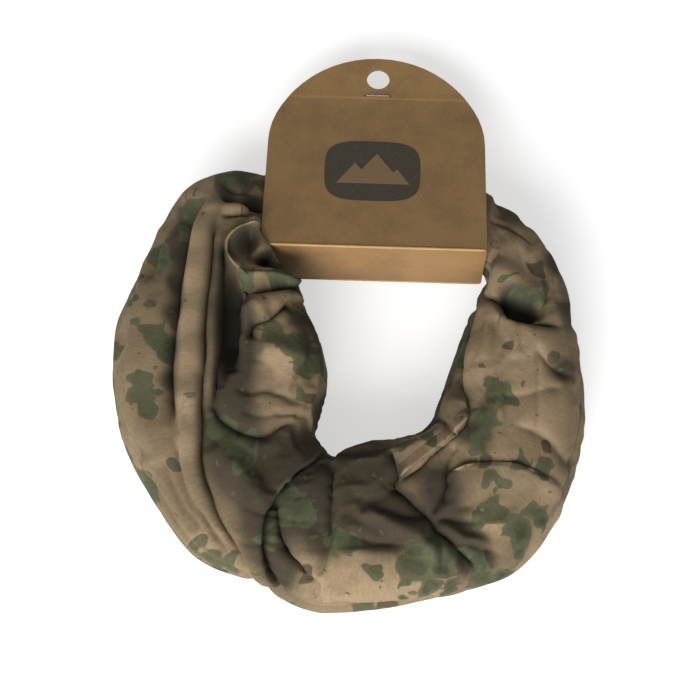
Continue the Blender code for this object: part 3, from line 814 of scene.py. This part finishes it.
def store_print_with_painted_shade(gaiter, grid, places, shade, normals):
    """Store the print with its painted shade and highlight on the gaiter, as laid where it shows and seeded
    elsewhere, and the painted shade of its folds.
    """
    on_top = normals[..., 2].ravel() > 0
    green, dark, light, brown = [
        np.where(on_top, field, -1) for field in print_and_painted_light_fields(grid[..., 0:2].reshape(-1, 2))
    ]
    green = np.maximum(green, hidden_patches(grid, normals, 61, (3, 9)))
    brown = np.maximum(brown, hidden_patches(grid, normals, 71, (2, 5)))
    dark = np.maximum(dark, hidden_clouds(grid, normals, 62, 0.2))
    light = np.maximum(light, hidden_clouds(grid, normals, 63, 0.3))
    cloth_place = np.hstack([places.reshape(-1, 2) * MM, np.zeros((len(green), 1))])
    store_points(gaiter, cloth_place, green, dark, light, brown, shade.ravel())


# Free edges of the knit that lie on top of the folds: name, path of the edge
# in plan (mm) with the cloth on its left, how far the edge stands up, and how
# far its cloth reaches back before it goes under (mm).
FREE_EDGES = [
    ("gaiter_edge_card", [(-28, 53.6), (-33, 53), (-38, 50.4), (-42, 46), (-42.4, 41.2), (-39.6, 36.6),
                          (-35.6, 33.4), (-33, 32.6)], 1.6, 2.4),
    ("gaiter_edge_tongue", [(-17.6, 33.4), (-22.5, 35.2), (-28.5, 35.8), (-34.5, 35)], 1.0, 3.0),
    ("gaiter_edge_corner", [(18, -37), (26, -30), (33.5, -23.5), (39.6, -17.6), (41.4, -15.4), (41.2, -13),
                            (40.6, -9.5)], 1.6, 8.0),
    ("gaiter_edge_arch", [(75, -36.5), (69, -33.5), (62, -31.5), (53, -30), (44, -31),
                          (36, -34)], 0.9, 6.0),
]
EDGE_STEPS = 150
KNIT_THICKNESS = 0.55
# Shares of the way back from the edge at which its cloth has points, and the
# shares of its length over which it comes up and goes down at its ends.
EDGE_COLUMNS = (0.0, 0.12, 0.35, 0.65, 1.0)
EDGE_FADE = 0.12
# How far its back and its ends go under the folds (mm).
EDGE_BACK_DEPTH = 1.6
EDGE_ENDS_DEPTH = 1.2
# The roll along the edge: its reach (mm), and its turns (radians) with their levels (mm).
EDGE_ROLL = 0.5
EDGE_TURNS = ((0.9, 0.12), (1.57, -0.28), (0.9, -0.62))


def surface_heights(tree, plan):
    """Height of the upper surface in a tree of faces, at points in plan (m)."""
    heights = []
    for x, y in plan:
        hit = tree.ray_cast(Vector((x, y, 0.2)), Vector((0, 0, -1)))[0]
        heights.append(hit.z if hit else np.nan)
    heights = np.array(heights)
    known = ~np.isnan(heights)
    return np.interp(np.arange(len(heights)), np.nonzero(known)[0], heights[known])


def soften_line(values, rounds):
    """Soften a line of values, keeping its ends."""
    values = values.copy()
    for _ in range(rounds):
        values[1:-1] = (values[:-2] + 2 * values[1:-1] + values[2:]) / 4
    return values


def free_edge(tree, name, path, stand, reach):
    """A free edge of the knit: a thin rolled edge whose cloth runs back into the folds."""
    fine = open_curve(np.asarray(path, float), 40)
    _, walked = walk(fine)
    wanted = np.linspace(0, walked[-1], EDGE_STEPS)
    line = np.column_stack([np.interp(wanted, walked, fine[:, axis]) for axis in (0, 1)])
    way = np.gradient(line, axis=0)
    way /= np.linalg.norm(way, axis=1, keepdims=True)
    leftward = np.column_stack([-way[:, 1], way[:, 0]])
    share = wanted / walked[-1]
    ends = smooth_ramp(share / EDGE_FADE) * smooth_ramp((1 - share) / EDGE_FADE)
    wave = 0.3 * seeded_waves(line, 9, 71)
    extent = (reach * (0.15 + 0.85 * ends))[:, None] * leftward
    upper = []
    for part in EDGE_COLUMNS:
        plan = line + extent * part
        level = soften_line(surface_heights(tree, plan * MM + np.array(RING_MIDDLE)[0:2]), 12) / MM
        raised = (stand + wave) * (1 - part) ** 1.5 * ends
        raised = raised - EDGE_BACK_DEPTH * part - EDGE_ENDS_DEPTH * (1 - ends)
        upper.append(np.column_stack([plan, level + raised]))
    below = [points - [0, 0, KNIT_THICKNESS] for points in upper]
    edge = upper[0]
    roll = [
        np.column_stack([edge[:, 0:2] - leftward * EDGE_ROLL * math.sin(turn), edge[:, 2] + lower])
        for turn, lower in EDGE_TURNS
    ]
    sheet = np.stack(upper[::-1] + roll + below, axis=1)
    rows = [[Vector(point) * MM + RING_MIDDLE for point in row] for row in sheet]
    piece = finish_mesh(name, tube_mesh(rows))
    points = sheet.reshape(-1, 3)
    green, dark, light, brown = print_and_painted_light_fields(points[:, 0:2])
    on_roll = np.zeros(sheet.shape[:2])
    on_roll[:, len(upper) - 1:len(upper) + 2] = 1
    on_roll = on_roll.ravel()
    light = np.maximum(light, on_roll * 1.1)
    dark = dark - 0.4 * on_roll
    store_points(piece, points * [MM, MM, 0], green, dark, light, brown, np.zeros(len(points)))
    return piece


# ------------------------------------------------------------- materials

class Nodes:
    """A short way to write a material's node tree."""

    def __init__(self, name):
        self.material = bpy.data.materials.new(name)
        self.material.use_nodes = True
        self.tree = self.material.node_tree
        self.shader = self.tree.nodes["Principled BSDF"]

    def feed(self, node, inputs):
        """Link a node's inputs to outputs, or set them; colours are given without alpha."""
        for name, value in dict(inputs).items():
            socket = node.inputs[name]
            if isinstance(value, bpy.types.NodeSocket):
                self.tree.links.new(value, socket)
            else:
                socket.default_value = (*value, 1.0) if socket.type == "RGBA" else value

    def add(self, kind, inputs=(), **settings):
        """A new node."""
        node = self.tree.nodes.new(kind)
        for key, value in settings.items():
            setattr(node, key, value)
        self.feed(node, inputs)
        return node

    def surface(self, inputs):
        """Feed the main shader, which finishes the material."""
        self.feed(self.shader, inputs)
        return self.material

    def parts(self, attribute_name):
        """The three parts of a value stored on the points."""
        stored = self.add("ShaderNodeAttribute", attribute_name=attribute_name)
        return self.add("ShaderNodeSeparateXYZ", {0: stored.outputs["Vector"]}).outputs

    def object_place(self):
        return self.add("ShaderNodeTexCoord").outputs["Object"]

    def stretched(self, place, scale, turn=0.0):
        """A place stretched along its axes and turned about Z."""
        inputs = {"Vector": place, "Scale": scale, "Rotation": (0, 0, turn)}
        return self.add("ShaderNodeMapping", inputs).outputs["Vector"]

    def math(self, operation, first, second):
        return self.add("ShaderNodeMath", {0: first, 1: second}, operation=operation).outputs[0]

    def plus(self, first, second, share):
        """The first value and a share of the second."""
        return self.math("ADD", first, self.math("MULTIPLY", second, share))

    def noise(self, place, scale, detail, roughness, distortion=0.0):
        inputs = {"Vector": place, "Scale": scale, "Detail": detail}
        inputs.update({"Roughness": roughness, "Distortion": distortion})
        return self.add("ShaderNodeTexNoise", inputs).outputs["Fac"]

    def wave(self, place, axis, scale, distortion):
        inputs = {"Vector": place, "Scale": scale, "Distortion": distortion}
        return self.add("ShaderNodeTexWave", inputs, wave_type="BANDS", bands_direction=axis).outputs["Fac"]

    def step(self, value, low, high):
        inputs = {"Value": value, "From Min": low, "From Max": high}
        return self.add("ShaderNodeMapRange", inputs, interpolation_type="SMOOTHSTEP").outputs["Result"]

    def mix(self, share, first, second):
        return self.add("ShaderNodeMix", {0: share, 6: first, 7: second}, data_type="RGBA").outputs[2]

    def paint(self, under, mask, low, high, strength, over):
        """A colour laid over another as a mask rises from low to high."""
        return self.mix(self.math("MULTIPLY", self.step(mask, low, high), strength), under, over)

    def bump(self, height, strength, distance):
        inputs = {"Height": height, "Strength": strength, "Distance": distance}
        return self.add("ShaderNodeBump", inputs).outputs["Normal"]


def srgb(*levels):
    """Linear colour from the three levels of an sRGB one, given in 0 to 255."""
    return tuple(((c / 255 + 0.055) / 1.055) ** 2.4 if c > 10 else c / 255 / 12.92 for c in levels)


KNIT_TAN = srgb(114, 98, 74)
KNIT_KHAKI = srgb(97, 83, 62)
KNIT_LIGHT_AND_PAINTED_HIGHLIGHT = srgb(134, 114, 89)
KNIT_SHADOW = srgb(45, 40, 29)
KNIT_BROWN = srgb(56, 48, 34)
KNIT_GREEN = srgb(66, 68, 47)
KNIT_DEEP_GREEN = srgb(45, 47, 33)
KNIT_PAINTED_FOLD_SHADE = srgb(20, 17, 11)
KRAFT_BASE = srgb(132, 103, 65)
KRAFT_DEEP = srgb(119, 92, 57)
KRAFT_FIBRE = srgb(190, 156, 112)
KRAFT_FLECK = srgb(92, 66, 40)
WIRE_BRIGHT = (0.62, 0.61, 0.58)
WIRE_DULL = (0.42, 0.41, 0.39)
INK_DARK = srgb(54, 48, 35)
INK_PALE = srgb(112, 90, 62)
INK_GRAIN = srgb(104, 82, 56)
INK_WORN = srgb(88, 72, 52)
# How the card's strip and its crushed creases differ from its panels' colour: the strip's warmer,
# lighter copy of the board is painted light where it faces the lamp, and the creases are lighter
# for crushed fibres and partly for a painted highlight.
STRIP_PAINTED_LIGHT_TINT = (1.08, 1.0, 0.9)
CREASE_CRUSHED_AND_PAINTED_HIGHLIGHT_TINT = (1.7, 1.75, 1.8)


def knit_material():
    """Thin polyester knit with a printed camouflage of clouds, blobs and specks, with painted shade in its
    folds and recesses and painted highlight on its ridges.
    """
    n = Nodes("printed_knit")
    place = n.add("ShaderNodeAttribute", attribute_name="cloth_place").outputs["Vector"]
    green_field, dark_print_and_shade_field, light_print_and_highlight_field = n.parts("print_with_painted_light")
    # the brown print, and the painted shade of the folds
    brown_field, fold, _ = n.parts("brown_and_painted_fold_shade")
    ragged = n.noise(place, 190, 1.5, 0.5)
    soft = n.noise(place, 34, 2, 0.45, 0.2)
    green = n.plus(green_field, ragged, 0.9)
    colour = n.mix(n.step(soft, 0.38, 0.66), KNIT_TAN, KNIT_KHAKI)
    # painted highlight and painted shade: the light clouds are partly print and partly painted highlight, the
    # dark clouds partly print and partly painted shade
    colour = n.paint(colour, n.plus(light_print_and_highlight_field, soft, 0.6), 0.4, 1.2, 0.75, KNIT_LIGHT_AND_PAINTED_HIGHLIGHT)
    colour = n.paint(colour, n.plus(dark_print_and_shade_field, soft, 0.6), 0.32, 1.15, 0.93, KNIT_SHADOW)
    colour = n.paint(colour, n.plus(brown_field, ragged, 0.8), 0.32, 0.56, 0.8, KNIT_BROWN)
    colour = n.paint(colour, green, 0.36, 0.56, 0.88, KNIT_GREEN)
    deep = n.math("MULTIPLY", n.step(green, 0.75, 1.0), n.step(soft, 0.4, 0.6))
    colour = n.mix(n.math("MULTIPLY", deep, 0.6), colour, KNIT_DEEP_GREEN)
    # specks gather near the green patches
    specks = n.plus(n.noise(place, 330, 0.5, 0.4, 0.4), n.math("MAXIMUM", green_field, -0.9), 0.09)
    colour = n.paint(colour, specks, 0.66, 0.675, 0.8, KNIT_GREEN)
    # painted shade: the folds darken the colour towards a near black
    colour = n.paint(colour, fold, 0.08, 0.8, 0.85, KNIT_PAINTED_FOLD_SHADE)
    heather = n.noise(n.stretched(place, (1.0, 0.16, 1.0)), 1500, 2, 0.65)
    grain = n.plus(n.noise(place, 1100, 2, 0.7), heather, 1.1)
    value = n.math("ADD", n.math("MULTIPLY", grain, 0.5), 0.475)
    tone = n.add("ShaderNodeHueSaturation", {"Value": value, "Color": colour})
    knit = n.math("MULTIPLY", n.wave(place, "X", 640, 1.2), n.wave(place, "Y", 480, 1.5))
    fuzz = n.noise(place, 900, 2, 0.6)
    return n.surface({
        "Base Color": tone.outputs["Color"],
        "Normal": n.bump(n.plus(knit, fuzz, 0.9), 0.3, 0.00014),
        "Roughness": 0.86,
        "Sheen Weight": 0.03,
        "Sheen Tint": (0.5, 0.42, 0.3),
        "Sheen Roughness": 0.5,
        "Specular IOR Level": 0.25,
    })


def kraft_material(name="kraft_board", tint=(1.0, 1.0, 1.0)):
    """Brown kraft board: mottled pulp with short fibres and flecks."""
    n = Nodes(name)
    place = n.object_place()
    base, deep = (tuple(c * t for c, t in zip(tone, tint)) for tone in (KRAFT_BASE, KRAFT_DEEP))
    mottle = n.noise(place, 60, 5, 0.65)
    fibres = n.noise(n.stretched(place, (1.0, 0.16, 0.16), 0.2), 3200, 3, 0.7, 0.4)
    colour = n.mix(n.step(mottle, 0.35, 0.68), base, deep)
    colour = n.paint(colour, fibres, 0.55, 0.75, 0.30, KRAFT_FIBRE)
    colour = n.paint(colour, n.noise(place, 1500, 1, 0.5), 0.68, 0.74, 0.45, KRAFT_FLECK)
    return n.surface({
        "Base Color": colour,
        "Normal": n.bump(n.math("ADD", fibres, mottle), 0.25, 0.0002),
        "Roughness": 0.62,
        "Specular IOR Level": 0.35,
    })


def wire_material():
    """Galvanised staple wire with drawing lines."""
    n = Nodes("staple_wire")
    streaks = n.noise(n.object_place(), 2500, 2, 0.6)
    return n.surface({
        "Base Color": n.mix(n.step(streaks, 0.3, 0.7), WIRE_BRIGHT, WIRE_DULL),
        "Normal": n.bump(streaks, 0.15, 0.0001),
        "Metallic": 1.0,
        "Roughness": 0.32,
    })


def ink_material(name, tone):
    """Printed ink that lets a little of the board's grain show."""
    n = Nodes(name)
    place = n.object_place()
    grain = n.noise(place, 1400, 3, 0.6)
    colour = n.paint(tone, grain, 0.52, 0.75, 0.35, INK_GRAIN)
    colour = n.paint(colour, n.noise(place, 260, 3, 0.6), 0.55, 0.8, 0.3, INK_WORN)
    return n.surface({"Base Color": colour, "Normal": n.bump(grain, 0.2, 0.0001), "Roughness": 0.55})


def give(piece, material):
    """Set a piece's only material."""
    piece.data.materials.clear()
    piece.data.materials.append(material)


# ---------------------------------------------------------- stage and camera

CAMERA_ELEVATION = math.radians(75)
CAMERA_AZIMUTH = math.radians(1.8)
CAMERA_DISTANCE = 577.6 * MM
CAMERA_AIM = RING_MIDDLE + Vector((1.2, 13, 22)) * MM
FRAME_WIDTH = 250 * MM
SENSOR = 36.0
CAMERA_CLIP = 0.01
WORLD_STRENGTH = 0.38
BACKDROP_STRENGTH = 0.92
FLOOR_SIZE = 3.0
FLOOR_TONE = 0.55
FLOOR_GLOW = 0.55
FLOOR_FADE = (0.3, 1.0)
KEY_SIZE = 1.1
KEY_POWER = 42.0
KEY_PLACE = Vector((-0.35, -1.15, 0.85))


def floor_material():
    """Plain pale studio floor that fades into the backdrop far from the object."""
    n = Nodes("pale_floor")
    n.surface({
        "Base Color": (FLOOR_TONE, FLOOR_TONE, FLOOR_TONE),
        "Roughness": 0.9,
        "Emission Color": (1.0, 1.0, 1.0),
        "Emission Strength": FLOOR_GLOW,
    })
    away = n.add("ShaderNodeVectorMath", {0: n.object_place()}, operation="LENGTH")
    backdrop = n.add("ShaderNodeEmission", {"Strength": BACKDROP_STRENGTH})
    share = n.step(away.outputs["Value"], *FLOOR_FADE)
    fade = n.add("ShaderNodeMixShader", {0: share, 1: n.shader.outputs[0], 2: backdrop.outputs[0]})
    n.feed(n.tree.nodes["Material Output"], {"Surface": fade.outputs[0]})
    return n.material


def build_floor():
    """A large floor under the ring."""
    plane = bmesh.new()
    bmesh.ops.create_grid(plane, x_segments=1, y_segments=1, size=FLOOR_SIZE)
    floor = finish_mesh("floor", plane, smooth=False)
    floor.location = RING_MIDDLE
    give(floor, floor_material())


def build_light():
    """A soft box in front of the ring, and a world that lights less than it shows."""
    data = bpy.data.lights.new("key_box", "AREA")
    data.shape = "SQUARE"
    data.size = KEY_SIZE
    data.energy = KEY_POWER
    light = new_object("key_box", data)
    light.location = RING_MIDDLE + KEY_PLACE
    light.rotation_euler = (RING_MIDDLE - light.location).to_track_quat("-Z", "Y").to_euler()
    world = bpy.data.worlds.new("studio")
    world.use_nodes = True
    tree = world.node_tree
    background = tree.nodes["Background"].inputs
    background["Color"].default_value = (1, 1, 1, 1)
    rays = tree.nodes.new("ShaderNodeLightPath")
    strength = tree.nodes.new("ShaderNodeMapRange")
    strength.inputs["To Min"].default_value = WORLD_STRENGTH
    strength.inputs["To Max"].default_value = BACKDROP_STRENGTH
    tree.links.new(rays.outputs["Is Camera Ray"], strength.inputs["Value"])
    tree.links.new(strength.outputs["Result"], background["Strength"])
    bpy.context.scene.world = world
    bpy.context.scene.view_settings.view_transform = "Standard"


def build_camera():
    """A camera above the front of the ring."""
    data = bpy.data.cameras.new("camera")
    data.sensor_width = SENSOR
    data.lens = SENSOR * CAMERA_DISTANCE / FRAME_WIDTH
    data.clip_start = CAMERA_CLIP
    camera = new_object("camera", data)
    back = Vector((
        math.sin(CAMERA_AZIMUTH) * math.cos(CAMERA_ELEVATION),
        -math.cos(CAMERA_AZIMUTH) * math.cos(CAMERA_ELEVATION),
        math.sin(CAMERA_ELEVATION),
    ))
    camera.location = CAMERA_AIM + back * CAMERA_DISTANCE
    camera.rotation_euler = (-back).to_track_quat("-Z", "Y").to_euler()
    bpy.context.scene.camera = camera


# ------------------------------------------------------- the card's details

# The panels bend in a bow that reaches this far to either side, over this many cuts.
BOW_REACH = 7 * MM
BOW_CUTS = 7
CUT_TOLERANCE = 1e-6
SHARP_ANGLE = math.radians(35)
# The bead along a crease: its radius, how far it stops short, and its grid.
CREASE_RADIUS = 0.5 * MM
CREASE_INSET = 0.1 * MM
BEAD_STEPS, BEAD_SIDES = 96, 16
# The print: where its centre lies, its block (width, height in mm, roundness,
# points), the peaks within it (mm) and the thickness of its ink.
PRINT_FROM_CREASE = 34.5 * MM
PRINT_OFFSET = 1.2 * MM
PRINT_BLOCK = (35, 28, 0.55, 72)
PEAKS = [(-13, -6), (-6.5, 3.5), (-4, 0.5), (1.5, 8), (7.5, -0.5), (9, 1), (13.5, -6)]
INK_THICKNESS = 0.03 * MM


def face_plane(node):
    """Normal of a thin panel's upper outer face, and a point on it, from its largest face."""
    mesh = frame["nodes"][node].data
    largest = max(mesh.polygons, key=lambda face: (round(face.area, 9), face.normal.z))
    return largest.normal.normalized(), mesh.vertices[largest.vertices[0]].co.copy()


def up_the_face(normal, towards):
    """The way within a face that is square to the X axis and points towards a given way."""
    way = normal.cross(X_AXIS).normalized()
    if way.dot(towards) < 0:
        way.negate()
    return way


def dress_board(piece, node, material):
    """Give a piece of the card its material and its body."""
    give(piece, material)
    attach(piece, node)


def bowed_panel(name, node, crease, material):
    """A card panel whose bend towards the header is a soft bow instead of a sharp fold."""
    normal, _ = face_plane(node)
    header = up_the_face(HEADER_NORMAL, Y_AXIS)
    along = up_the_face(normal, header)
    board = bmesh.new()
    board.from_mesh(frame["nodes"][node].data)
    bend = bend_distance(node, crease, along, header)
    corner = crease + along * bend
    stretches = ((crease, along, bend - BOW_REACH, bend), (corner, header, 0, BOW_REACH))
    for origin, direction, low, high in stretches:
        for distance in np.linspace(low, high, BOW_CUTS):
            cut_across(board, origin + direction * distance, direction)
    for vert in board.verts:
        from_corner = vert.co - corner
        before_bend = (along + header).dot(from_corner) < 0
        direction, across = (along, normal) if before_bend else (header, HEADER_NORMAL)
        place = from_corner.dot(direction)
        if abs(place) < BOW_REACH:
            t = (place + BOW_REACH) / (2 * BOW_REACH)
            bow_vert(vert, corner, along, header, t, from_corner.dot(across), across)
    piece = finish_mesh(name, board)
    piece.data.set_sharp_from_angle(angle=SHARP_ANGLE)
    piece.modifiers.new("flat_faces", "WEIGHTED_NORMAL").keep_sharp = True
    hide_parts(node)
    dress_board(piece, node, material)
    return piece


def bow_vert(vert, corner, along, header, t, depth, across):
    """Move a point onto a panel's bow, at a share t of it, keeping its depth in the board."""
    first, last = corner - along * BOW_REACH, corner + header * BOW_REACH
    centre = first * (1 - t) ** 2 + corner * 2 * t * (1 - t) + last * t ** 2
    way = (along * (1 - t) + header * t).normalized()
    outward = X_AXIS.cross(way).normalized()
    x = vert.co.x
    vert.co = centre + outward * depth * (1 if outward.dot(across) > 0 else -1)
    vert.co.x = x


def bend_distance(node, crease, along, header):
    """Distance from a panel's crease to its bend, where its two planes meet."""
    corners = [vert.co for vert in frame["nodes"][node].data.vertices]
    top = max(corners, key=lambda corner: (corner - crease).dot(header))
    return (top - crease).dot(HEADER_NORMAL) / along.dot(HEADER_NORMAL)


def cut_across(board, place, direction):
    """Add a row of edges across a board."""
    parts = board.verts[:] + board.edges[:] + board.faces[:]
    bmesh.ops.bisect_plane(board, geom=parts, plane_co=place, plane_no=direction, dist=CUT_TOLERANCE)


def crease_bead(name, crease, material):
    """The rounded, slightly crushed fold of the board along a crease."""
    chance = np.random.default_rng(int(crease.z * 1e6))
    turns = [2 * math.pi * side / BEAD_SIDES for side in range(BEAD_SIDES)]
    rings = []
    for step in range(BEAD_STEPS + 1):
        along = -1 + 2 * step / BEAD_STEPS
        end = math.sqrt(max(1 - abs(along) ** 40, 0.02))
        size = CREASE_RADIUS * end * (1 + 0.05 * chance.normal())
        place = crease + Vector((along * (CARD_HALF_WIDTH - CREASE_INSET), 0, 0))
        rings.append([place + Vector((0, math.cos(turn), math.sin(turn))) * size for turn in turns])
    piece = finish_mesh(name, tube_mesh(rings))
    dress_board(piece, "card_base", material)
    return piece


def rounded_outline(width, height, power, count):
    """A closed superellipse outline in mm."""
    outline = []
    for turn in np.linspace(0, 2 * math.pi, count, endpoint=False):
        x, y = math.cos(turn), math.sin(turn)
        outline.append((
            width / 2 * math.copysign(abs(x) ** power, x),
            height / 2 * math.copysign(abs(y) ** power, y),
        ))
    return outline


def printed_shape(name, outline, level, material):
    """A thin film of ink on the front panel; outline in mm about the print's centre."""
    normal, on_face = face_plane("card_front")
    upward = up_the_face(normal, Y_AXIS)
    foot = Vector((CARD_MIDDLE_X - PRINT_OFFSET, FRONT_CREASE.y, FRONT_CREASE.z)) + upward * PRINT_FROM_CREASE
    centre = foot + normal * (on_face - foot).dot(normal)
    places = [centre + X_AXIS * (x * MM) + upward * (y * MM) for x, y in outline]
    levels = (level + INK_THICKNESS, level - INK_THICKNESS * 0.5)
    film = tube_mesh([[place + normal * height for place in places] for height in levels])
    piece = finish_mesh(name, film, smooth=False)
    dress_board(piece, "card_front", material)
    return piece


# ------------------------------------------------------------------ assembly

knit = knit_material()
gaiter = build_gaiter()
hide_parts("gaiter")
faces = BVHTree.FromObject(gaiter, bpy.context.evaluated_depsgraph_get())
edges = [free_edge(faces, *edge) for edge in FREE_EDGES]
for piece in [gaiter, *edges]:
    give(piece, knit)
    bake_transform(piece)

kraft = kraft_material()
# painted light: the strip is the same board as the panels, given a warmer, lighter colour where it faces the
# lamp
give(frame["nodes"]["card_base"], kraft_material("kraft_strip_painted_light", STRIP_PAINTED_LIGHT_TINT))
bowed_panel("card_front_board", "card_front", FRONT_CREASE, kraft)
bowed_panel("card_back_board", "card_back", BACK_CREASE, kraft)
give(frame["nodes"]["staple"], wire_material())
# lighter for crushed fibres, and partly a painted highlight along the crease
crushed_and_painted_highlight = kraft_material("kraft_crease_crushed_and_painted_highlight", CREASE_CRUSHED_AND_PAINTED_HIGHLIGHT_TINT)
crease_bead("front_crease_fold", FRONT_CREASE, crushed_and_painted_highlight)
crease_bead("back_crease_fold", BACK_CREASE, crushed_and_painted_highlight)
printed_shape("print_field", rounded_outline(*PRINT_BLOCK), 0, ink_material("dark_ink", INK_DARK))
printed_shape("print_peaks", PEAKS, INK_THICKNESS, ink_material("pale_ink", INK_PALE))

build_floor()
build_light()
build_camera()
